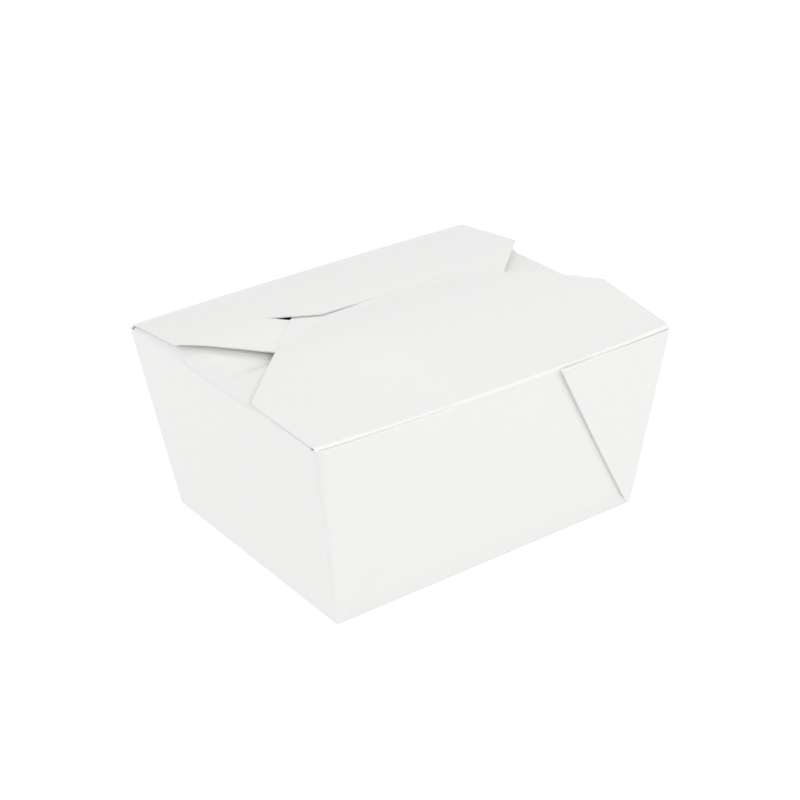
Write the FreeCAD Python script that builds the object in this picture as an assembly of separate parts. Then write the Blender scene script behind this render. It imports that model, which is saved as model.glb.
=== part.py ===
import FreeCAD, Part
import math
import os

# A takeout food box folded from one sheet of white coated paperboard, shown closed.
# The tray's corners are webs: each one is folded double and laid flat along the outside of a
# long wall, so the tray has no cut corner and holds liquids. Two end flaps fold in first, then
# the back flap, and last the front flap, whose tongue goes down through the back flap's slit.
# Millimetres. +X runs along the box, the front wall faces -Y and +Z is up. The origin is the
# middle of the underside.

# The tray, over its outside faces
top_length = 130.0
top_width = 108.0
base_length = 114.0
base_width = 92.0
rim_height = 63.5

# The board and its bends
board = 0.45
layer_gap = 0.10        # air between two plies of a folded ear
corner_radius = 1.5     # middle of the board, round an upright corner
crease_radius = 0.30    # inside of the bend at the rim

# The ears, measured from the box's end to the free edge
ear_reach = 46.2        # at the rim
ear_root = 2.6          # at the base

# The lid's rise over the rim, and the air between flaps that cross
lid_crown = 5.6
lid_gap = 0.12

# The back flap, measured from the back rim
back_flap_length = 59.0
back_flap_side = 29.5       # straight stretch of each side edge
back_flap_front = 68.0      # width of the front edge
slit_from_rim = 38.7
slit_middle = 37.4          # length of the straight stretch
slit_length = 68.6          # from tip to tip
slit_sweep = 6.7            # how far the tips lie behind the middle
slit_opening = 3.6          # as held open by the tongue
slit_taper = 3.3            # length of each closing end

# The front flap, measured from the front rim
front_flap_side = 31.0      # straight stretch of each side edge
tongue_width = 54.0         # where the tongue enters the slit
tongue_reach = 10.0         # past the slit
tongue_tip = 42.0           # width at the tip
tongue_round = 4.0          # radius of the tip's corners
tongue_dive = 3.2           # run over which the flap bends down into the slit

# The end flaps, measured from the end rim
end_flap_root = 94.0        # width at the rim
end_flap_tip = 80.0         # width at the inner edge
end_flap_length = 36.0
crown_facet_width = 36.0    # of the facet that stays up in the middle
crown_facet_depth = 15.0
crown_facet_rise = 10.0     # degrees
end_flap_dip = 25.0         # degrees

# What follows from them
pitch = board + layer_gap                 # from one ply of an ear to the next
bend = crease_radius + board              # outside radius of the bend at the rim
tray_top = rim_height - bend              # the walls are straight up to here
lean_x = (top_length - base_length) / 2.0 / rim_height
lean_y = (top_width - base_width) / 2.0 / rim_height
end_face = base_length / 2.0 + lean_x * tray_top                     # outside of an end wall there
wall_face = base_width / 2.0 + lean_y * tray_top - 2.0 * pitch       # outside of a long wall there
wall_middle = wall_face - board / 2.0
slit_y = wall_middle - slit_from_rim                                 # the slit's rear lip
slit_slope = slit_sweep / (slit_length / 2.0 - slit_middle / 2.0)


def point(x, y, z=0.0):
    return FreeCAD.Vector(x, y, z)


def arc(start, middle, end):
    return Part.Arc(start, middle, end).toShape()


def prism(points, low, high):
    """An upright block over a plan outline given as (x, y) corners."""
    corners = [point(x, y, low) for x, y in points]
    face = Part.Face(Part.makePolygon(corners + corners[:1]))
    return face.extrude(point(0, 0, high - low))


def mirrored(points):
    """A plan outline made whole from its +X half, which runs from back to front or the reverse."""
    return points + [(-x, y) for x, y in reversed(points)]


def tray_quarter(z, side):
    """One quarter of the tray's section at height z, from the end wall's middle to the long wall's.

    The board runs from the end wall round the corner into the ear's outer ply, turns back at the
    free edge as the inner ply, and turns again at the corner into the long wall. side is +1 for
    the face outside the box and -1 for the face inside it.
    """
    off = side * board / 2.0
    end = base_length / 2.0 + lean_x * z - board / 2.0
    outer = base_width / 2.0 + lean_y * z - board / 2.0
    inner = outer - pitch
    wall = inner - pitch
    reach = ear_root + (ear_reach - ear_root) * z / rim_height
    free = end + board / 2.0 - reach + pitch / 2.0 + board / 2.0
    bend_x = end - corner_radius
    turn_x = bend_x + board / 2.0
    ear_turn = pitch / 2.0 + off
    wall_turn = pitch / 2.0 - off
    slant = (corner_radius + off) * math.sqrt(0.5)
    centre_y = outer - corner_radius
    edges = [
        Part.makeLine(point(end + off, 0, z), point(end + off, centre_y, z)),
        arc(
            point(end + off, centre_y, z),
            point(bend_x + slant, centre_y + slant, z),
            point(bend_x, outer + off, z),
        ),
        Part.makeLine(point(bend_x, outer + off, z), point(free, outer + off, z)),
        arc(
            point(free, outer + off, z),
            point(free - ear_turn, (outer + inner) / 2.0, z),
            point(free, inner - off, z),
        ),
        Part.makeLine(point(free, inner - off, z), point(turn_x, inner - off, z)),
        arc(
            point(turn_x, inner - off, z),
            point(turn_x + wall_turn, (inner + wall) / 2.0, z),
            point(turn_x, wall + off, z),
        ),
        Part.makeLine(point(turn_x, wall + off, z), point(0, wall + off, z)),
    ]
    return edges


def tray_section(z, side):
    """The closed outline of one face of the board at height z."""
    quarter = Part.Wire(tray_quarter(z, side))
    half = [quarter, quarter.mirror(point(0, 0, 0), point(1, 0, 0))]
    whole = half + [w.mirror(point(0, 0, 0), point(0, 1, 0)) for w in half]
    edges = [e for w in whole for e in w.Edges]
    return Part.Wire(Part.__sortEdges__(edges))


def tray():
    """Base, four walls and four ears: the outside loft less the inside loft above the base."""
    over = tray_top + 1.0
    outside = Part.makeLoft([tray_section(0.0, 1), tray_section(tray_top, 1)], True, True)
    inside = Part.makeLoft([tray_section(board, -1), tray_section(over, -1)], True, True)
    return outside.cut(inside)


def end_flap():
    """The flap on the +X end: a bend over the rim, then flat facets of even height.

    A three-cornered facet stays up in the middle. The rest dips into the box, under the lid.
    """
    root_x = end_face - bend
    low, high = rim_height - board, rim_height
    half = math.sqrt(0.5)
    outline = [
        Part.makeLine(point(end_face - board, 0, tray_top), point(end_face, 0, tray_top)),
        arc(
            point(end_face, 0, tray_top),
            point(root_x + bend * half, 0, tray_top + bend * half),
            point(root_x, 0, high),
        ),
        Part.makeLine(point(root_x, 0, high), point(root_x, 0, low)),
        arc(
            point(root_x, 0, low),
            point(root_x + crease_radius * half, 0, tray_top + crease_radius * half),
            point(end_face - board, 0, tray_top),
        ),
    ]
    roll = Part.Face(Part.Wire(outline)).extrude(point(0, end_flap_root, 0))
    roll.translate(point(0, -end_flap_root / 2.0, 0))

    rise = math.tan(math.radians(crown_facet_rise))
    dip = math.tan(math.radians(end_flap_dip))
    peak = crown_facet_depth * rise
    ridge = crown_facet_width / 2.0
    deep = -dip * end_flap_length
    mid_deep = peak - dip * (end_flap_length - crown_facet_depth)
    facets = [[(0, -ridge, 0), (0, ridge, 0), (crown_facet_depth, 0, peak)]]
    for s in (1, -1):
        facets.append(
            [
                (0, s * ridge, 0),
                (crown_facet_depth, 0, peak),
                (end_flap_length, 0, mid_deep),
                (end_flap_length, s * ridge, deep),
            ]
        )
        facets.append(
            [
                (0, s * ridge, 0),
                (end_flap_length, s * ridge, deep),
                (end_flap_length, s * end_flap_tip / 2.0, deep),
                (0, s * end_flap_root / 2.0, 0),
            ]
        )
    flap = roll
    for facet in facets:
        corners = [point(root_x - u, y, low + z) for u, y, z in facet]
        face = Part.Face(Part.makePolygon(corners + corners[:1]))
        flap = flap.fuse(face.extrude(point(0, 0, board)))
    return flap


def back_lid_height(y):
    """Top of the back flap over the rim: a parabola that is level at the flap's front edge."""
    along = (wall_face - bend - y) / (back_flap_length - bend)
    return lid_crown * (1.0 - (1.0 - along) ** 2)


def back_flap():
    """The back wall's flap, bent over the rim and domed, with the slit cut through it."""
    root_y = wall_face - bend
    front_y = wall_face - back_flap_length
    mid_y = (root_y + front_y) / 2.0
    half = math.sqrt(0.5)
    top = rim_height
    low = rim_height - board

    def dome(z):
        curve = Part.BezierCurve()
        curve.setPoles(
            [point(0, root_y, z), point(0, mid_y, z + lid_crown), point(0, front_y, z + lid_crown)]
        )
        return curve.toShape()

    profile = [
        Part.makeLine(point(0, wall_face - board, tray_top), point(0, wall_face, tray_top)),
        arc(
            point(0, wall_face, tray_top),
            point(0, root_y + bend * half, tray_top + bend * half),
            point(0, root_y, top),
        ),
        dome(top),
        Part.makeLine(point(0, front_y, top + lid_crown), point(0, front_y, low + lid_crown)),
        dome(low),
        arc(
            point(0, root_y, low),
            point(0, root_y + crease_radius * half, tray_top + crease_radius * half),
            point(0, wall_face - board, tray_top),
        ),
    ]
    sheet = Part.Face(Part.Wire(Part.__sortEdges__(profile))).extrude(point(top_length, 0, 0))
    sheet.translate(point(-top_length / 2.0, 0, 0))

    above = rim_height + 2.0 * lid_crown
    outline = mirrored(
        [
            (top_length / 2.0, wall_face + 1.0),
            (top_length / 2.0, wall_face - back_flap_side),
            (back_flap_front / 2.0, front_y),
        ]
    )
    slit = mirrored(
        [
            (slit_middle / 2.0, slit_y),
            (slit_length / 2.0, slit_y + slit_sweep),
            (
                slit_length / 2.0 - slit_taper,
                slit_y - slit_opening + slit_sweep - slit_taper * slit_slope,
            ),
            (slit_middle / 2.0, slit_y - slit_opening),
        ]
    )
    return sheet.common(prism(outline, 0.0, above)).cut(prism(slit, rim_height, above))


def front_profile(x, shift):
    """The front flap's section at x, with the bend into the slit moved back by shift."""
    nose = board / 2.0
    axis_y, axis_z = -wall_middle, rim_height - nose
    crown = lid_crown + 2.0 * board + lid_gap
    start_y = slit_y - tongue_dive + shift
    level_y = slit_y - tongue_dive - 1.0
    enter_y = slit_y + shift
    tip_y = enter_y + tongue_reach
    under_lid = board + lid_gap
    enter = rim_height + back_lid_height(enter_y) - under_lid
    tip = rim_height + back_lid_height(tip_y) - under_lid

    def run(drop):
        curve = Part.BezierCurve()
        curve.setPoles(
            [
                point(x, axis_y, rim_height - drop),
                point(x, (axis_y + level_y) / 2.0, rim_height + crown - drop),
                point(x, level_y, rim_height + crown - drop),
            ]
        )
        return [
            curve.toShape(),
            Part.makeLine(
                point(x, level_y, rim_height + crown - drop),
                point(x, start_y, rim_height + crown - drop),
            ),
            Part.makeLine(
                point(x, start_y, rim_height + crown - drop), point(x, enter_y, enter - drop)
            ),
            Part.makeLine(point(x, enter_y, enter - drop), point(x, tip_y, tip - drop)),
        ]

    edges = run(0.0)
    edges.append(Part.makeLine(point(x, tip_y, tip), point(x, tip_y, tip - board)))
    edges += run(board)[::-1]
    edges.append(
        arc(
            point(x, axis_y, axis_z - nose),
            point(x, axis_y - nose, axis_z),
            point(x, axis_y, axis_z + nose),
        )
    )
    return Part.Wire(Part.__sortEdges__(edges))


def front_flap():
    """The flap that closes last, with a round root on its hinge line and a tongue in the slit.

    Its bend into the slit runs straight in the middle and is swept back at both sides, as the
    slit is, so the sheet is a ruled loft through four sections.
    """
    edge = top_length / 2.0
    bend_x = slit_middle / 2.0
    shift = (edge - bend_x) * slit_slope
    sections = [
        front_profile(-edge, shift),
        front_profile(-bend_x, 0.0),
        front_profile(bend_x, 0.0),
        front_profile(edge, shift),
    ]
    sheet = Part.makeLoft(sections, True, True)
    tip_y = slit_y + tongue_reach
    neck_y = slit_y + (tongue_width - slit_middle) / 2.0 * slit_slope
    outline = mirrored(
        [
            (edge, -wall_face - board),
            (edge, -wall_face + front_flap_side),
            (tongue_width / 2.0, neck_y),
            (tongue_tip / 2.0, tip_y),
        ]
    )
    cutter = prism(outline, 0.0, rim_height + 3.0 * lid_crown)
    corners = [
        e
        for e in cutter.Edges
        if abs(e.Vertexes[0].X - e.Vertexes[1].X) < 1e-6
        and abs(e.Vertexes[0].Y - e.Vertexes[1].Y) < 1e-6
        and abs(e.Vertexes[0].Y - tip_y) < 1e-6
    ]
    return sheet.common(cutter.makeFillet(tongue_round, corners))


def carton_body():
    """Tray, ears, end flaps and back flap: one folded sheet, so one solid."""
    flap = end_flap()
    other = flap.mirror(point(0, 0, 0), point(1, 0, 0))
    return tray().fuse([flap, other, back_flap()])


def one_solid(shape, name):
    solids = shape.removeSplitter().Solids
    print(name, "solids", len(solids), "valid", all(s.isValid() for s in solids),
          "volume", round(sum(s.Volume for s in solids), 1))
    return solids[0] if len(solids) == 1 else Part.makeCompound(solids)


os.makedirs("parts", exist_ok=True)
for name, make in (("carton_body", carton_body), ("front_flap", front_flap)):
    one_solid(make(), name).exportStep(os.path.join("parts", name + ".step"))
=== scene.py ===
import math
import bmesh
import bpy
import numpy as np
from mathutils import Matrix


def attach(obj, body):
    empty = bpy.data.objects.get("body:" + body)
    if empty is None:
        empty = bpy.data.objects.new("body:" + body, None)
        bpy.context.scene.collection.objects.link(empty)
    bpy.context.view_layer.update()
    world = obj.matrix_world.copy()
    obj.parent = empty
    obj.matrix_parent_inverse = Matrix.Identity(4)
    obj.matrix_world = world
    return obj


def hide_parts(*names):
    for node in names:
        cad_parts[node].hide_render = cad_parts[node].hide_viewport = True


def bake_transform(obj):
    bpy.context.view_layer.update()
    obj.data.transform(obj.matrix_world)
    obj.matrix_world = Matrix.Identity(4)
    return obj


# A closed takeout food box of white coated paperboard, dressed over its frame.
# Lengths are millimetres until a mesh is made. +X runs along the box, the front wall faces -Y
# and +Z is up. Each surface here is the middle of the board; its thickness is added at the end.

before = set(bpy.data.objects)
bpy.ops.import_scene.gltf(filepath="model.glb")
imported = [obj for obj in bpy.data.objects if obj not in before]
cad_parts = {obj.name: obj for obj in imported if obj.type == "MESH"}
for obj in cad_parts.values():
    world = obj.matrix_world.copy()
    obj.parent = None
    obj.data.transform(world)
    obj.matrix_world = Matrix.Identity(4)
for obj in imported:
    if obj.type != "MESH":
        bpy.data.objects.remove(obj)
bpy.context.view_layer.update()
MM = 0.001

# The tray
top_length = 130.0
top_width = 108.0
base_length = 114.0
base_width = 92.0
rim_height = 63.5

# The board and its folds
board = 0.45
layer_pitch = 0.55          # from one ply of an ear to the next
crease_radius = 0.8         # middle of the board, where a flap bends over the rim
back_crease_radius = 1.3    # the back flap's bend is softer
base_crease_radius = 0.35
corner_radius_base = 0.5    # the upright corners open like a cone
corner_radius_rim = {       # by (end, side); the near one is the softest
    (-1, -1): 2.4,
    (1, -1): 0.7,
    (-1, 1): 0.7,
    (1, 1): 0.7,
}
corner_bevel = 0.4          # added to the radius right at the base
corner_bevel_height = 2.2
smallest_radius = 0.05      # of the base panel's corners, where they are drawn in
merge_height = 5.0          # the plies of an ear lie together below this
fold_depth = 1.5            # plies, from an ear's middle to the middle of its fold at the corner
fold_limit = 0.95           # of the corner's inner radius, the furthest out that the fold is placed
fold_clearance = 0.05       # between that fold and the board round it

# The ears
ear_reach = 46.2            # at the rim, from the box's end
ear_root = 1.4              # at the base
ear_free_rise = {-1: 0.45, 1: 0.0}  # of the ears' tops over the walls' top, at their free edges
ear_corner_drop = {         # and under it at the box's corners, by (end, side)
    (1, -1): 0.25,
    (-1, -1): 0.0,
    (1, 1): 0.05,
    (-1, 1): 0.05,
}
ear_lift = {                # how far each free edge stands off the wall, by (end, side)
    (1, -1): 0.55,
    (-1, -1): 0.12,
    (1, 1): 0.1,
    (-1, 1): 0.1,
}
ear_lift_foot = 0.35        # share of that at the foot of the wall
ear_lift_width = 9.0        # of the strip that stands off

# How the folded box has sprung out of true
long_wall_bow = {-1: 2.1, 1: 1.2}   # outwards at the rim, front and back
end_wall_bow = 0.7
bow_growth = 1.3                    # power of the height's share by which the bows grow
past_rim = 1.2                      # share of the height up to which they go on growing
past_wall = 1.05                    # and share of the half width and half length
corner_lift = {                     # of the rim at each corner, by (end, side)
    (-1, -1): 0.7,
    (1, -1): -0.7,
    (-1, 1): 0.3,
    (1, 1): 0.4,
}

# The back flap
back_length = 59.0
back_side = 29.5
back_shoulder = 65.0        # half the width at the corners
back_root = 64.7            # half the width at the rim, once over the fold
back_front = 34.0           # half the width at the front edge
back_rise = 0.107           # slope up from the rim
back_crest = 31.5           # from the rim to the flap's highest line
back_fall = (0.08, 0.13)    # slope down past it, right and left
back_swell = 0.95           # how far the left half has swollen up, right from the rim
back_swell_run = 3.0
back_swell_start = 20.0     # where it starts, and the width it grows over
back_swell_width = 65.0
bend_softness = 2.0         # length of the soft bends across both flaps
slit_from_rim = 38.7
slit_middle = 18.7          # half of the straight stretch
slit_half = 34.3            # half of the whole slit
slit_edge = 62.2            # half the flap's width along the slit's line
slit_slope = {-1: 0.4295, 1: 0.07}  # how steeply each end sweeps back
slit_opening = 2.6
slit_taper = 10.0           # length over which it opens from each end
slit_closes = (24.0, 32.0)  # where it is pinched shut at its right end
slit_pinch = 0.97           # share of the opening that the pinch takes
lip_press = (0.6, 0.15)     # how far the tongue pushes the slit's front lip down, left and right
press_taper = 6.0           # length over which that fades at the slit's ends
fit_start = -25.0           # from here to the right the tongue fits the slit more and more closely
fit_width = 30.0            # until this far on

# The front flap
front_side = 31.0
front_shoulder = 65.2
front_root = {-1: 64.9, 1: 65.2}    # half the width at the rim, left and right
front_slopes = {            # up from the rim, then changes of slope at two distances from it
    -1: (0.075, (32.0, 0.0), (49.0, -0.17)),
    1: (0.150, (32.0, -0.085), (48.0, -0.20)),
}
tongue_root = {-1: 27.0, 1: 32.0}   # where each slanted edge enters the slit
tongue_reach = 10.0
tongue_tip = 21.0           # half its width at the tip
tongue_drop = 0.4           # how much lower the tip lies
sweep_by = 0.85             # share of the way to the slit by which rows have its full sweep
dive_run = (3.0, 0.9)       # length of the bend down into the slit, left and right
dive_gap = (0.3, 0.03)      # under the slit's rear lip
press_start = 10.0          # the left part, which is pressed down, starts here
press_width = 38.0          # and grows over this width
rest_gap = 0.1              # between the front flap and the back flap that it lies on
rest_softness = 0.25        # of its bend where it comes to lie there
rest_edge = 3.0             # width over which the back flap's slanted edge lifts it
rest_start = -14.0          # y from which the back flap lifts it
rest_width = 8.0            # and the width over which it begins to

# The end flaps
end_root = 50.5             # half the width at the rim
end_tip = 42.0
end_length = 36.0
facet_middle = -2.0         # of the three-cornered facet past the rim
facet_half = 18.0
facet_narrowing = 0.93      # of each half, each millimetre from the rim
facet_square = 0.73         # turns a distance along the rim into one square to the facet's sides
facet_slope = 0.115
side_slope = {-1: 0.60, 1: -0.05}   # change of slope past the facet, left and right end
side_softness = 0.8
rim_roll = 0.9              # height and run of the bend over the rim, along the facet
roll_run_share = 0.4        # of its height, where it stands higher
cover_change = 6.0          # width over which the front flap gives way to the back flap over it
under_clearance = 0.58      # from an end flap's middle to that of the flap over it
contact_softness = 0.25     # of the bend where it meets that flap
strip_gap = {-1: 1.5, 1: 0.0}       # more, where it shows before the back flap's slanted edge
slant_square = 0.7          # turns a distance along x into one square to a slanted edge
tuck = 4.0                  # width over which it rises, behind an edge, to lie under that flap
tuck_before = 0.5           # how far before the edge that starts
end_floor = 0.3             # its lowest height over the walls' top, before the dip
inner_dip = 25.0            # degrees, down into the box past what shows
dip_softness = 2.5          # length of that bend
dip_starts = (22.0, 5.0)    # from the rim, in the middle and at the sides
dip_widths = (4.0, 36.0)    # from the facet's middle, where one gives way to the other
end_edge = 3.0              # width of the closer rows at the rim, and of what is cut off the tip
end_cells = 28              # grid cells across half an end flap, and along the wall under it

# A painted highlight: along the front flap's fold, whose stretched coating is whiter, and on the ears'
# tops under it, the board is painted whiter still
highlight_inside = 0.6          # from the wall's middle inwards to where it starts
highlight_over = (0.1, 0.3)     # heights over the walls' top between which it grows
highlight_fade = 0.3            # and the width over which it grows outwards

# Where the grids have closer rows
foot_share = 0.08           # of the walls' height
neck_share = 0.8            # of the way from the front flap's shoulders to the slit
base_rings = (0.97, 0.85, 0.6, 0.3, 0.0)    # sizes of the base's inner rows

# How the finished sheets are welded and shaded
weld_distance = 0.004
sliver_length = 0.002
smooth_below = 50.0         # degrees

# What follows from them
tray_top = rim_height - board / 2.0 - crease_radius
base_turn = board / 2.0 + base_crease_radius
lean_x = (top_length - base_length) / 2.0 / rim_height
lean_y = (top_width - base_width) / 2.0 / rim_height
crease_high = 1.0 + math.sin(math.atan(lean_y))     # a flap's start over the wall's top, in radii
crease_wide = math.cos(math.atan(lean_y))           # and its distance in from the wall


def smoothstep(t):
    """Three t squared minus two t cubed, with t held between 0 and 1."""
    t = np.clip(t, 0.0, 1.0)
    return t * t * (3.0 - 2.0 * t)


def soft_ramp(t, softness):
    """0 below t = 0 and t above it, rounded: softness times log of (1 + e to the t / softness)."""
    return softness * np.logaddexp(0.0, t / softness)


def spread(*stops):
    """Evenly spaced values through the given (start, end, count) runs, each end written once."""
    runs = [np.linspace(a, b, n, endpoint=False) for a, b, n in stops]
    return np.concatenate(runs + [np.array([float(stops[-1][1])])])


# Where the walls and the folds of the ears lie at a height

def end_middle(z):
    """An end wall's distance from the middle: it leans out evenly, less half the board."""
    return base_length / 2.0 + lean_x * z - board / 2.0


def ear_middle(z):
    """The same for the outer ply of an ear, which is flush with the tray's outside."""
    return base_width / 2.0 + lean_y * z - board / 2.0


def pitch_at(z):
    """From one ply of an ear to the next: nothing at the base, and full past the merge height."""
    return layer_pitch * smoothstep(z / merge_height)


def wall_middle_at(z):
    """A long wall lies two plies in from its ear."""
    return ear_middle(z) - 2.0 * pitch_at(z)


def corner_radius(z, end, side):
    """A cone's radius, growing evenly to the rim, and a little bevel that fades off the base."""
    rim = corner_radius_rim[(end, side)]
    cone = corner_radius_base + (rim - corner_radius_base) * z / rim_height
    return cone + corner_bevel * np.exp(-((z / corner_bevel_height) ** 2))


def fold_x(z, end, side):
    """Where a long wall folds back into its ear: as far out as fits inside the rounded corner.

    That is half the chord of the corner's inner circle at the fold's depth, less the fold's own
    half thickness and a clearance.
    """
    radius = corner_radius(z, end, side)
    inner_radius = radius - board / 2.0
    off_centre = np.clip(radius - fold_depth * pitch_at(z), 0.0, fold_limit * inner_radius)
    chord = np.sqrt(inner_radius ** 2 - off_centre ** 2)
    return end_middle(z) - radius + chord - (pitch_at(z) + board) / 2.0 - fold_clearance


wall_mid = wall_middle_at(tray_top)
root_half = float(fold_x(np.array(tray_top), 1, 1))
end_mid = end_middle(tray_top)
slit_y = wall_mid + board / 2.0 - slit_from_rim
back_side_y = wall_mid - back_side
back_front_y = wall_mid + board / 2.0 - back_length

# Columns of the back flap's grids, which the long walls share, with one at each bend of the slit
across = spread(
    (0.0, slit_middle / slit_edge, 12),
    (slit_middle / slit_edge, slit_half / slit_edge, 12),
    (slit_half / slit_edge, 1.0, 16),
)
both_ways = np.concatenate([-across[:0:-1], across])


def warp(points):
    """The spring of the folded sheet, as a shift of space that grows with the height.

    The long walls move out by bow times (1 - |x / half length| cubed), the end walls by bow times
    (1 - (y / half width) squared), both times the height's share to the power bow_growth. Towards
    the box's middle the first fade with the square of y and the second with x to the fourth. The
    rim rises by the four corners' lifts, blended evenly between them.
    """
    x, y, z = points[..., 0], points[..., 1], points[..., 2]
    half_x, half_y = top_length / 2.0, top_width / 2.0
    grow = np.clip(z / rim_height, 0.0, past_rim)
    bow = np.where(y < 0.0, long_wall_bow[-1], long_wall_bow[1])
    out_y = bow * grow ** bow_growth * (1.0 - np.clip(np.abs(x) / half_x, 0.0, 1.0) ** 3)
    out_x = end_wall_bow * grow ** bow_growth * (1.0 - np.clip(np.abs(y) / half_y, 0.0, 1.0) ** 2)
    near_y = np.clip(np.abs(y) / half_y, 0.0, past_wall) ** 2
    near_x = np.clip(np.abs(x) / half_x, 0.0, past_wall) ** 4
    moved = points.copy()
    moved[..., 0] += np.sign(x) * out_x * near_x
    moved[..., 1] += np.sign(y) * out_y * near_y
    for (end, side), lift in corner_lift.items():
        moved[..., 2] += lift * (1.0 + end * x / half_x) * (1.0 + side * y / half_y) / 4.0 * grow
    return moved


# The tray

def tray_quarter(v, end, side):
    """One quarter of the tray's wall, from an end wall's middle to a long wall's middle.

    At each height the board runs along the end wall, round a quarter circle, out along the ear,
    round a half circle at its free edge, back under it, round a half circle at the corner and
    along the long wall. v is the share of the height, 0 to 1, as a column. Each run gives x, y and
    how much of it belongs to the ear, whose free edge stands off the wall by a bell curve.
    """
    z = base_turn + (tray_top - base_turn) * v
    half = end_middle(z)
    outer = ear_middle(z)
    pitch = pitch_at(z)
    inner = outer - pitch
    wall = inner - pitch
    radius = corner_radius(z, end, side)
    reach = ear_root + (ear_reach - ear_root) * z / rim_height
    free = half + board / 2.0 - reach + pitch / 2.0 + board / 2.0
    turn = fold_x(z, end, side)
    straight = outer - radius

    flap_share = end_root / float(ear_middle(tray_top) - corner_radius(tray_top, end, side))
    runs = []

    t = spread((0.0, flap_share, end_cells), (flap_share, 1.0, 3))[:-1]
    runs.append((half + 0.0 * t, straight * t, 0.0 * t))

    a = np.linspace(0.0, math.pi / 2.0, 17)[:-1]
    lift_edge = smoothstep(a / (math.pi / 2.0))
    runs.append((half - radius + radius * np.cos(a), straight + radius * np.sin(a), lift_edge))

    t = np.linspace(0.0, 1.0, 33)[:-1]
    runs.append((half - radius + (free - half + radius) * t, outer + 0.0 * t, 1.0 + 0.0 * t))

    a = np.linspace(0.0, math.pi, 9)[:-1]
    x, y = free - pitch / 2.0 * np.sin(a), outer - pitch / 2.0 * (1.0 - np.cos(a))
    runs.append((x, y, 1.0 + 0.0 * a))

    t = np.linspace(0.0, 1.0, 29)[:-1]
    runs.append((free + (turn - free) * t, inner + 0.0 * t, 1.0 + 0.0 * t))

    a = np.linspace(0.0, math.pi, 9)[:-1]
    x, y = turn + pitch / 2.0 * np.sin(a), inner - pitch / 2.0 * (1.0 - np.cos(a))
    runs.append((x, y, 1.0 - a / math.pi))

    t = across[::-1]
    runs.append((turn * t, wall + 0.0 * t, 0.0 * t))

    x, y, ear = (
        np.concatenate([np.broadcast_to(run[i], (len(v), len(run[2]))) for run in runs], axis=1)
        for i in range(3)
    )
    lift = ear_lift[(end, side)] * (ear_lift_foot + (1.0 - ear_lift_foot) * v)
    y = y + lift * np.exp(-(((x - free) / ear_lift_width) ** 2)) * ear
    drop = ear_free_rise[side] + ear_corner_drop[(end, side)]
    to_corner = np.clip((x - free) / (half - free), 0.0, 1.0)
    heights = z + ear * v * (ear_free_rise[side] - drop * to_corner)
    return np.stack([end * x, side * y, heights], axis=-1)


def tray():
    """The whole wall as one closed band: four quarters, every other one run backwards."""
    v = spread((0.0, foot_share, 8), (foot_share, 1.0, 40))[:, None]
    parts = [
        tray_quarter(v, 1, 1)[:, :-1],
        tray_quarter(v, -1, 1)[:, :0:-1],
        tray_quarter(v, -1, -1)[:, :-1],
        tray_quarter(v, 1, -1)[:, :0:-1],
    ]
    band = np.concatenate(parts, axis=1)
    return np.concatenate([band, band[:, :1]], axis=1)


def base_ring(inset, z):
    """A rectangle with round corners at one height, drawn in from the foot of the walls by inset."""
    half = end_middle(base_turn) - inset
    outer = ear_middle(base_turn) - inset
    radius = max(corner_radius(base_turn, -1, -1) - inset, smallest_radius)
    a = np.linspace(0.0, math.pi / 2.0, 13)
    t = np.linspace(0.0, 1.0, 20)[:-1]
    back = 1.0 - np.linspace(0.0, 1.0, 31)[1:]
    turn_x, turn_y = half - radius * (1.0 - np.cos(a)), outer - radius * (1.0 - np.sin(a))
    x = np.concatenate([half + 0.0 * t, turn_x, (half - radius) * back])
    y = np.concatenate([(outer - radius) * t, turn_y, outer + 0.0 * back])
    quarter = np.stack([x, y], axis=-1)
    flip_x, flip_y = np.array([-1.0, 1.0]), np.array([1.0, -1.0])
    loop = np.concatenate([
        quarter[:-1],
        (quarter * flip_x)[:0:-1],
        (quarter * flip_x * flip_y)[:-1],
        (quarter * flip_y)[:0:-1],
        quarter[:1],
    ])
    return np.concatenate([loop, np.full((len(loop), 1), z)], axis=1)


def base():
    """The base panel: a flat sheet whose rim turns up through a quarter circle to meet the walls."""
    rows = []
    for a in np.linspace(0.0, math.pi / 2.0, 7):
        inset = base_crease_radius * (1.0 - math.cos(a))
        rows.append(base_ring(inset, base_turn - base_crease_radius * math.sin(a)))
    edge = base_ring(base_crease_radius, board / 2.0)
    centre = np.array([0.0, 0.0, board / 2.0])
    rows += [centre + (edge - centre) * size for size in base_rings]
    return np.stack(rows)


# The flaps

def crease_rows(steps, slope, radius):
    """(run, rise) pairs over a rim crease: an arc that leaves along the wall and ends at slope."""
    first = -math.atan(lean_y)
    a = np.append(first, np.linspace(first + 0.02, math.pi / 2.0 - math.atan(slope), steps))
    return radius * np.stack([math.cos(first) - np.cos(a), np.sin(a) - math.sin(first)], axis=-1)


def level_row(x, y, z):
    """Points along x at one y and one height."""
    return np.stack([x, np.full(x.shape, y), np.full(x.shape, z)], axis=-1)


def by_side(x, pair):
    """The left or the right value of a pair, by the sign of x."""
    return np.where(x < 0.0, pair[-1], pair[1])


def slit_sweep(x):
    """How far a slit that bends back at its ends lies behind its middle."""
    return by_side(x, slit_slope) * np.clip(np.abs(x) - slit_middle, 0.0, slit_half - slit_middle)


def slit_gap(x):
    """The slit's opening: it tapers to the ends and closes from left to right."""
    taper = np.clip((slit_half - np.abs(x)) / slit_taper, 0.0, 1.0)
    left, right = slit_closes
    return slit_opening * taper * (1.0 - slit_pinch * smoothstep((x - left) / (right - left)))


def bend(s, at, change):
    """Height added past a bend: a change of slope at a distance, softened."""
    return change * soft_ramp(s - at, bend_softness)


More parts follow.
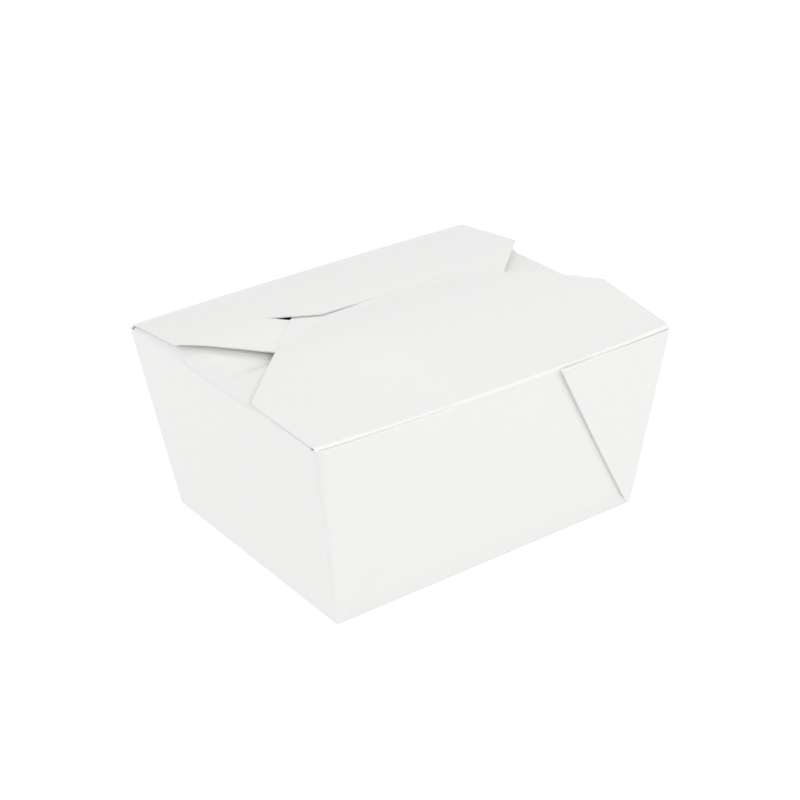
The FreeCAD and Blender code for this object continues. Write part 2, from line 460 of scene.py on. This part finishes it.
def back_height(x, y):
    """Middle of the back flap: a rise to the crest and a fall, with the left half swollen up."""
    s = wall_mid - back_crease_radius * crease_wide - y
    left = smoothstep((back_swell_start - x) / back_swell_width)
    fall = back_fall[0] + (back_fall[1] - back_fall[0]) * left
    swell = back_swell * left * (1.0 - np.exp(-np.clip(s, 0.0, None) / back_swell_run))
    start = tray_top + back_crease_radius * crease_high
    return start + back_rise * s + bend(s, back_crest, -back_rise - fall) + swell


def rightwards(x):
    """From 0 at the slit's left end to 1 past its middle, where the tongue fits it closely."""
    return smoothstep((x - fit_start) / fit_width)


def pressed(x):
    """How far the tongue holds the slit's front lip down."""
    left, right = lip_press
    return (left + (right - left) * rightwards(x)) * smoothstep((slit_half - np.abs(x)) / press_taper)


def back_edge(y):
    """Half the back flap's width: it widens a little to its corners and then slants in."""
    widening = np.clip((wall_mid - y) / back_side, 0.0, 1.0)
    slanting = np.clip((back_side_y - y) / (back_side_y - back_front_y), 0.0, 1.0)
    widened = back_root + (back_shoulder - back_root) * widening
    slanted = back_shoulder - (back_shoulder - back_front) * slanting
    return np.where(y > back_side_y, widened, slanted)


def back_flap():
    """The back flap in two grids, behind the slit and before it, joined past the slit's ends.

    Its rows are straight from the rim to its corners. From there to the slit they take on the
    slit's sweep, and lose it again on the way to the front edge.
    """
    crease = crease_rows(15, back_rise, back_crease_radius)
    first = wall_mid - crease[-1, 0]

    def row(level, share):
        """A line across the flap: straight at share 0 and along the slit's sweep at share 1.

        Its ends depend on its sweep and its sweep on its ends, so it is worked out repeatedly.
        """
        x = both_ways * back_edge(level)
        for _ in range(12):
            y = level + share * slit_sweep(x)
            x = both_ways * np.where(both_ways < 0.0, back_edge(y[0]), back_edge(y[-1]))
        y = level + share * slit_sweep(x)
        return np.stack([x, y, back_height(x, y)], axis=-1)

    rows = []
    for run, rise in crease[:-1]:
        y = wall_mid - run
        half = root_half + (float(back_edge(y)) - root_half) * math.sqrt(max(run, 0.0) / crease[-1, 0])
        rows.append(level_row(both_ways * half, y, tray_top + rise))
    for level in np.linspace(first, back_side_y, 22)[:-1]:
        rows.append(row(level, 0.0))
    for share in np.linspace(0.0, 1.0, 10):
        rows.append(row(back_side_y + (slit_y - back_side_y) * share, share))
    behind = np.stack(rows)

    rear = rows[-1]
    lip = rear.copy()
    lip[:, 1] -= slit_gap(rear[:, 0])
    lip[:, 2] = back_height(lip[:, 0], lip[:, 1]) - pressed(lip[:, 0])
    rows = [lip]
    for share in np.linspace(1.0, 0.0, 14)[1:]:
        level = back_front_y + (slit_y - back_front_y) * share
        ends = back_edge(level + share * slit_sweep(np.array([-slit_edge, slit_edge])))
        x = both_ways * np.where(both_ways < 0.0, ends[0], ends[1])
        y = level + share * (slit_sweep(x) - slit_gap(x))
        rows.append(np.stack([x, y, back_height(x, y) - pressed(x)], axis=-1))
    return behind, np.stack(rows)


def front_height(x, y):
    """Middle of the front flap: its rise, less on the left, where the flap has been pressed down.

    It lies on the back flap where that is higher, through a soft maximum.
    """
    s = y + wall_mid - crease_radius * crease_wide
    left = smoothstep((-x - press_start) / press_width)
    right_rise, left_rise = (
        slope * s + bend(s, *near_bend) + bend(s, *far_bend)
        for slope, near_bend, far_bend in (front_slopes[1], front_slopes[-1])
    )
    free = tray_top + crease_radius * crease_high + right_rise + (left_rise - right_rise) * left
    resting = back_height(x, y) - pressed(x) + board + rest_gap
    over_edge = smoothstep((back_edge(y) - np.abs(x)) / rest_edge)
    inside = over_edge * smoothstep((y - rest_start) / rest_width)
    return free + inside * soft_ramp(resting - free, rest_softness)


def front_flap():
    """The front flap: over the rim, up to its shoulders, in along both slants, down into the slit.

    Past the shoulders each row bends back by the slit's sweep times a share that grows to one at
    the slit, and its ends lie where that row crosses the slanted edges.
    """
    columns = np.linspace(-1.0, 1.0, 97)
    root_side = by_side(columns, front_root)
    crease = crease_rows(15, 0.5 * (front_slopes[-1][0] + front_slopes[1][0]), crease_radius)
    first = -wall_mid + crease[-1, 0]
    side_y = -wall_mid + front_side
    sweep = by_side(columns, slit_slope)
    root = by_side(columns, tongue_root)
    neck_y = slit_y + sweep * (root - slit_middle)
    narrowing = (front_shoulder - root) / (neck_y - side_y)

    rows = []
    for run, rise in crease[:-1]:
        rows.append(level_row(columns * root_side, run - wall_mid, tray_top + rise))
    for t in np.linspace(0.0, 1.0, 24)[:-1]:
        y = first + (side_y - first) * t
        x = columns * (root_side + (front_shoulder - root_side) * t)
        level = np.full(columns.shape, y)
        rows.append(np.stack([x, level, front_height(x, level)], axis=-1))
    for t in spread((0.0, neck_share, 18), (neck_share, 1.0, 22)):
        share = smoothstep(np.array(t / sweep_by))
        level = side_y + (slit_y - side_y) * t
        q = sweep * share
        edge = (front_shoulder - narrowing * (level - side_y - slit_middle * q)) / (1.0 + narrowing * q)
        x = columns * edge
        bend_back = sweep * np.clip(np.abs(x) - slit_middle, 0.0, None)
        y = level + share * bend_back
        behind = slit_y + bend_back - y
        along = rightwards(x)
        run = dive_run[0] + (dive_run[1] - dive_run[0]) * along
        gap = dive_gap[0] + (dive_gap[1] - dive_gap[0]) * along
        dive = smoothstep(1.0 - behind / run) * (behind < run)
        over, under = front_height(x, y), back_height(x, slit_y + bend_back) - board - gap
        rows.append(np.stack([x, y, over + (under - over) * dive], axis=-1))
    edge = np.where(columns < 0.0, -rows[-1][0, 0], rows[-1][-1, 0])
    for t in np.linspace(0.0, 1.0, 12)[1:]:
        half = edge + (tongue_tip - edge) * t
        x = columns * half
        bend_back = sweep * np.clip(np.abs(x) - slit_middle, 0.0, None) * (1.0 - t)
        y = slit_y + tongue_reach * t + bend_back
        drop = board + gap[[0, -1]].mean() + tongue_drop * t
        rows.append(np.stack([x, y, back_height(x, y) - drop], axis=-1))
    return np.stack(rows)


def end_height(u, y, end):
    """Height of an end flap over the wall's top, at u from the rim.

    A facet rises from the rim. Past its slanting sides the flap bends up, or down, until it meets
    the flap that lies over it, through a soft minimum. Behind the slanted edges of the front and
    the back flap it rises over a tuck's width to lie close under them, and further in it dips.
    """
    beyond = facet_square * (np.abs(y - facet_middle) - facet_half + facet_narrowing * u)
    free = rim_roll + facet_slope * u + side_slope[end] * soft_ramp(beyond, side_softness)
    x = end * (end_mid - rim_roll - u)
    behind = smoothstep((y - facet_middle) / cover_change + 0.5)
    over = front_height(x, y) + (back_height(x, y) - front_height(x, y)) * behind
    contact = over - tray_top - under_clearance
    room = contact - strip_gap[end] * behind
    held = free - soft_ramp(free - room, contact_softness)
    narrowing = (back_shoulder - back_front) / (back_side_y - back_front_y)
    back_slant = back_shoulder - narrowing * (back_side_y - y)
    front_slant = front_shoulder - (y + wall_mid - front_side)
    slant = front_slant + (back_slant - front_slant) * behind
    inside = smoothstep((slant_square * (slant - np.abs(x)) + tuck_before) / tuck)
    aside = smoothstep((np.abs(y - facet_middle) - dip_widths[0]) / (dip_widths[1] - dip_widths[0]))
    turn = dip_starts[0] + (dip_starts[1] - dip_starts[0]) * aside
    dip = math.tan(math.radians(inner_dip)) * soft_ramp(u - turn, dip_softness)
    return np.maximum(held + (contact - held) * inside, end_floor) - dip


def end_flap(end):
    """An end flap: a soft roll over the rim, a facet, and slanting sides that follow end_height.

    The roll is a quarter of an ellipse, as high as the flap stands at the rim.
    """
    share = np.linspace(-1.0, 1.0, 2 * end_cells + 1)
    root = share * end_root
    high = end_height(0.0, root, end)
    run = rim_roll + roll_run_share * np.clip(high - rim_roll, 0.0, None)
    lean = math.atan(lean_x)
    rows = []
    for a in np.linspace(-lean, math.pi / 2.0, 16)[:-1]:
        x = end_mid - run * (math.cos(lean) - math.cos(a))
        rise = (math.sin(a) + math.sin(lean)) / (1.0 + math.sin(lean))
        rows.append(np.stack([x, root, tray_top + high * rise], axis=-1))
    for u in spread((0.0, end_edge, 8), (end_edge, end_length - end_edge, 36)):
        x = end_mid - run * math.cos(lean) - u
        y = share * (end_root + (end_tip - end_root) * u / end_length)
        rows.append(np.stack([x, y, tray_top + end_height(u, y, end)], axis=-1))
    return np.stack(rows) * np.array([end, 1.0, 1.0])


# Meshes

def grid_faces(rows, columns, first):
    """Four corners of each cell of a grid whose points are numbered row by row from first."""
    r, c = np.meshgrid(np.arange(rows - 1), np.arange(columns - 1), indexing="ij")
    a = first + r * columns + c
    return np.stack([a, a + 1, a + columns + 1, a + columns], axis=-1).reshape(-1, 4)


def board_piece(name, grids, materials):
    """One folded sheet from grids that meet edge to edge, given the board's thickness."""
    points, faces, first = [], [], 0
    for grid in grids:
        points.append(warp(grid).reshape(-1, 3))
        faces.append(grid_faces(grid.shape[0], grid.shape[1], first))
        first += grid.shape[0] * grid.shape[1]
    mesh = bpy.data.meshes.new(name + "_middle")
    mesh.from_pydata((np.concatenate(points) * MM).tolist(), [], np.concatenate(faces).tolist())
    bm = bmesh.new()
    bm.from_mesh(mesh)
    bmesh.ops.remove_doubles(bm, verts=bm.verts, dist=weld_distance * MM)
    bmesh.ops.dissolve_degenerate(bm, edges=bm.edges, dist=sliver_length * MM)
    bmesh.ops.recalc_face_normals(bm, faces=bm.faces)
    bm.to_mesh(mesh)
    bm.free()
    piece = bpy.data.objects.new(name, mesh)
    bpy.context.scene.collection.objects.link(piece)
    for material in materials:
        mesh.materials.append(material)
    thick = piece.modifiers.new("board", "SOLIDIFY")
    thick.thickness = board * MM
    thick.offset = 0.0
    thick.use_even_offset = False
    thick.material_offset_rim = 1
    thick.use_quality_normals = True
    depsgraph = bpy.context.evaluated_depsgraph_get()
    solid = bpy.data.meshes.new_from_object(piece.evaluated_get(depsgraph))
    solid.name = name
    piece.modifiers.clear()
    piece.data = solid
    bpy.data.meshes.remove(mesh)
    solid.polygons.foreach_set("use_smooth", np.ones(len(solid.polygons), bool))
    solid.set_sharp_from_angle(angle=math.radians(smooth_below))
    return piece


# Materials

def linear(hex_colour):
    """An sRGB hex colour as linear red, green, blue and full alpha."""
    values = [int(hex_colour[i:i + 2], 16) / 255.0 for i in (0, 2, 4)]
    curve = [v / 12.92 if v <= 0.04045 else ((v + 0.055) / 1.055) ** 2.4 for v in values]
    return (*curve, 1.0)


def add_node(tree, kind, settings=None, *values, **inputs):
    """A node with its settings, and its inputs, in order or by name, set or linked from a socket."""
    node = tree.nodes.new(kind)
    for key, value in (settings or {}).items():
        setattr(node, key, value)
    named = {key.replace("_", " "): value for key, value in inputs.items()}
    for key, value in [*enumerate(values), *named.items()]:
        socket = node.inputs[key]
        if isinstance(value, bpy.types.NodeSocket):
            tree.links.new(value, socket)
        else:
            socket.default_value = value
    return node


def per_mm(size):
    """Noise scale, in cycles each metre, of a pattern whose grain is size millimetres wide."""
    return 1.0 / (size * MM)


def fold_highlight_mask(tree, place):
    """Mask of the painted highlight: 1 on the front flap's fold and the ears' tops under it, 0
    elsewhere; it follows the bowed wall.

    The fold lies at y = bow times |x / half length| cubed, less the bow and the wall's distance,
    and rises to the left as the two front corners do.
    """
    axes = add_node(tree, "ShaderNodeSeparateXYZ", None, place).outputs
    half_length = top_length / 2.0 * MM
    bow = long_wall_bow[-1] * MM
    bowed_y = -bow - (wall_mid - highlight_inside) * MM
    tilt = (corner_lift[(-1, -1)] - corner_lift[(1, -1)]) / top_length
    low, high = ((tray_top + over) * MM for over in highlight_over)
    far = add_node(tree, "ShaderNodeMath", {"operation": "ABSOLUTE"}, axes["X"])
    share = add_node(tree, "ShaderNodeMath", {"operation": "DIVIDE"}, far.outputs[0], half_length)
    cube = add_node(tree, "ShaderNodeMath", {"operation": "POWER"}, share.outputs[0], 3.0)
    line = add_node(tree, "ShaderNodeMath", {"operation": "MULTIPLY_ADD"}, cube.outputs[0], bow, bowed_y)
    outside = add_node(tree, "ShaderNodeMath", {"operation": "SUBTRACT"}, line.outputs[0], axes["Y"])
    level = add_node(tree, "ShaderNodeMath", {"operation": "MULTIPLY_ADD"}, axes["X"], tilt, axes["Z"])
    above = add_node(tree, "ShaderNodeMapRange", Value=level.outputs[0], From_Min=low, From_Max=high)
    beyond = add_node(tree, "ShaderNodeMapRange", Value=outside.outputs[0], From_Min=0.0,
                      From_Max=highlight_fade * MM)
    fold = add_node(tree, "ShaderNodeMath", {"operation": "MULTIPLY"}, above.outputs["Result"],
                    beyond.outputs["Result"])
    return fold.outputs[0]


def new_material(name):
    """An empty material, its node tree, and the socket of its Object coordinates."""
    material = bpy.data.materials.new(name)
    material.use_nodes = True
    tree = material.node_tree
    tree.nodes.clear()
    return material, tree, add_node(tree, "ShaderNodeTexCoord").outputs["Object"]


def coated_board():
    """Bleached board with a clay coating: smooth, faintly glossy, with a low mottle of fibres.

    Along the front flap's fold, whose stretched coating is whiter, and on the ears' tops under it, a
    painted highlight makes the board whiter still.
    """
    material, tree, place = new_material("clay_coated_paperboard")
    # Fibres clump every 3 mm or so under the coating, and the coating itself has a 0.5 mm tooth
    clumps = add_node(tree, "ShaderNodeTexNoise", Vector=place, Scale=per_mm(3.0), Detail=3.0,
                      Roughness=0.5)
    tooth = add_node(tree, "ShaderNodeTexNoise", Vector=place, Scale=per_mm(0.5), Detail=2.0,
                     Roughness=0.6)
    # A Mix node's two colours are its inputs 6 and 7, and the colour that it gives is its output 2
    tone = add_node(tree, "ShaderNodeMix", {"data_type": "RGBA"})
    tree.links.new(clumps.outputs["Fac"], tone.inputs["Factor"])
    tone.inputs[6].default_value = linear("EFEFEE")
    tone.inputs[7].default_value = linear("F2F2F1")
    gloss = add_node(tree, "ShaderNodeMapRange", Value=tooth.outputs["Fac"], To_Min=0.30, To_Max=0.40)
    bump = add_node(tree, "ShaderNodeBump", Height=tooth.outputs["Fac"], Strength=0.05,
                    Distance=0.02 * MM)
    # Painted highlight: where the mask is 1, the fold and the ears' tops take the whiter colour below
    folded = add_node(tree, "ShaderNodeMix", {"data_type": "RGBA"})
    tree.links.new(fold_highlight_mask(tree, place), folded.inputs["Factor"])
    tree.links.new(tone.outputs[2], folded.inputs[6])
    folded.inputs[7].default_value = linear("FDFDFC")
    shader = add_node(tree, "ShaderNodeBsdfPrincipled", Base_Color=folded.outputs[2],
                      Roughness=gloss.outputs["Result"], IOR=1.5, Normal=bump.outputs["Normal"])
    add_node(tree, "ShaderNodeOutputMaterial", Surface=shader.outputs["BSDF"])
    return material


def cut_edge():
    """The same board where the die cut it: bare white fibres, matt and a little warmer."""
    material, tree, place = new_material("cut_paperboard_edge")
    # Loose fibres stand about 0.3 mm apart along the cut
    fibres = add_node(tree, "ShaderNodeTexNoise", Vector=place, Scale=per_mm(0.3), Detail=3.0,
                      Roughness=0.7)
    tone = add_node(tree, "ShaderNodeMix", {"data_type": "RGBA"})
    tree.links.new(fibres.outputs["Fac"], tone.inputs["Factor"])
    tone.inputs[6].default_value = linear("F4F3F0")
    tone.inputs[7].default_value = linear("FBFAF8")
    bump = add_node(tree, "ShaderNodeBump", Height=fibres.outputs["Fac"], Strength=0.2,
                    Distance=0.05 * MM)
    shader = add_node(tree, "ShaderNodeBsdfPrincipled", Base_Color=tone.outputs[2], Roughness=0.85,
                      Normal=bump.outputs["Normal"])
    add_node(tree, "ShaderNodeOutputMaterial", Surface=shader.outputs["BSDF"])
    return material


# The pieces

board_face = coated_board()
board_edge = cut_edge()

carton = board_piece(
    "folded_carton",
    [tray(), base(), *back_flap(), end_flap(1), end_flap(-1)],
    [board_face, board_edge],
)
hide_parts("carton_body")
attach(carton, "carton")

lid = board_piece("front_flap_sheet", [front_flap()], [board_face, board_edge])
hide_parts("front_flap")
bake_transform(lid)

# Floor and light

floor_glow = 0.93           # emission that washes the shadow out
horizon_strength = 0.69     # the backdrop's light at the horizon
zenith_strength = 0.78      # and overhead
zenith_height = 0.6         # sine of the elevation from which it is full


def floor_material():
    """A white sweep, lit so that it carries almost no shadow."""
    material = bpy.data.materials.new("white_sweep")
    material.use_nodes = True
    shader = material.node_tree.nodes["Principled BSDF"]
    shader.inputs["Base Color"].default_value = linear("595959")
    shader.inputs["Roughness"].default_value = 0.9
    shader.inputs["Emission Color"].default_value = linear("FFFFFF")
    shader.inputs["Emission Strength"].default_value = floor_glow
    return material


floor_half = 6.0
floor_mesh = bpy.data.meshes.new("floor")
floor_mesh.from_pydata(
    [(-floor_half, -floor_half, 0.0), (floor_half, -floor_half, 0.0),
     (floor_half, floor_half, 0.0), (-floor_half, floor_half, 0.0)],
    [],
    [(0, 1, 2, 3)],
)
floor_mesh.materials.append(floor_material())
floor = bpy.data.objects.new("floor", floor_mesh)
bpy.context.scene.collection.objects.link(floor)

world = bpy.data.worlds.new("studio")
bpy.context.scene.world = world
world.use_nodes = True
sky = world.node_tree.nodes["Background"]
sky.inputs["Color"].default_value = linear("FFFFFF")
direction = add_node(world.node_tree, "ShaderNodeTexCoord").outputs["Generated"]
height = add_node(world.node_tree, "ShaderNodeSeparateXYZ", Vector=direction).outputs["Z"]
glow = add_node(world.node_tree, "ShaderNodeMapRange", Value=height, From_Min=0.0,
                From_Max=zenith_height, To_Min=horizon_strength, To_Max=zenith_strength)
world.node_tree.links.new(glow.outputs["Result"], sky.inputs["Strength"])
bpy.context.scene.view_settings.view_transform = "Standard"


def view_axes(azimuth, elevation):
    """Right, up and back of a view from a direction in degrees, round from the front and up.

    Back points from the object to the viewer, right is square to it and level, and up is square
    to both.
    """
    a, e = math.radians(azimuth), math.radians(elevation)
    back = np.array([math.sin(a) * math.cos(e), -math.cos(a) * math.cos(e), math.sin(e)])
    right = np.cross([0.0, 0.0, 1.0], back)
    right /= np.linalg.norm(right)
    return right, np.cross(back, right), back


def put(thing, right, up, back, place):
    """Adds a light or a camera to the scene, at a place in metres and turned to its axes."""
    turn = np.eye(4)
    turn[:3, :3] = np.stack([right, up, back], axis=1)
    turn[:3, 3] = place
    thing.matrix_world = Matrix(turn.tolist())
    bpy.context.scene.collection.objects.link(thing)


def softbox(name, azimuth, elevation, distance, width, power):
    """A square light that faces the box's middle; distance and width in metres, power in watts."""
    light = bpy.data.lights.new(name, "AREA")
    light.shape = "SQUARE"
    light.size = width
    light.energy = power
    right, up, back = view_axes(azimuth, elevation)
    middle = np.array([0.0, 0.0, rim_height * MM / 2.0])
    put(bpy.data.objects.new(name, light), right, up, back, back * distance + middle)


softbox("key_box", azimuth=8.0, elevation=42.0, distance=1.2, width=0.4, power=1.9)
softbox("back_box", azimuth=-120.0, elevation=35.0, distance=1.2, width=0.7, power=0.9)
softbox("top_box", azimuth=145.0, elevation=62.0, distance=1.2, width=0.6, power=1.6)

# Camera

camera_azimuth = -34.56     # degrees
camera_elevation = 26.98
camera_roll = -2.26
camera_distance = 607.1
camera_offset = (-1.23, 33.21)      # of the view's middle from the origin, right and up
focal_pixels = 1864.3
frame_pixels = 800.0
sensor_width = 36.0


def photo_camera():
    """The photograph's view: looks past the origin from an azimuth and elevation, rolled a little."""
    level, upright, back = view_axes(camera_azimuth, camera_elevation)
    roll = math.radians(camera_roll)
    right = math.cos(roll) * level + math.sin(roll) * upright
    up = -math.sin(roll) * level + math.cos(roll) * upright
    place = right * camera_offset[0] + up * camera_offset[1] + back * camera_distance
    data = bpy.data.cameras.new("photo_view")
    data.sensor_width = sensor_width
    data.lens = focal_pixels / frame_pixels * sensor_width
    data.clip_start = 0.01
    data.clip_end = 50.0
    camera = bpy.data.objects.new("photo_view", data)
    put(camera, right, up, back, place * MM)
    return camera


bpy.context.scene.camera = photo_camera()
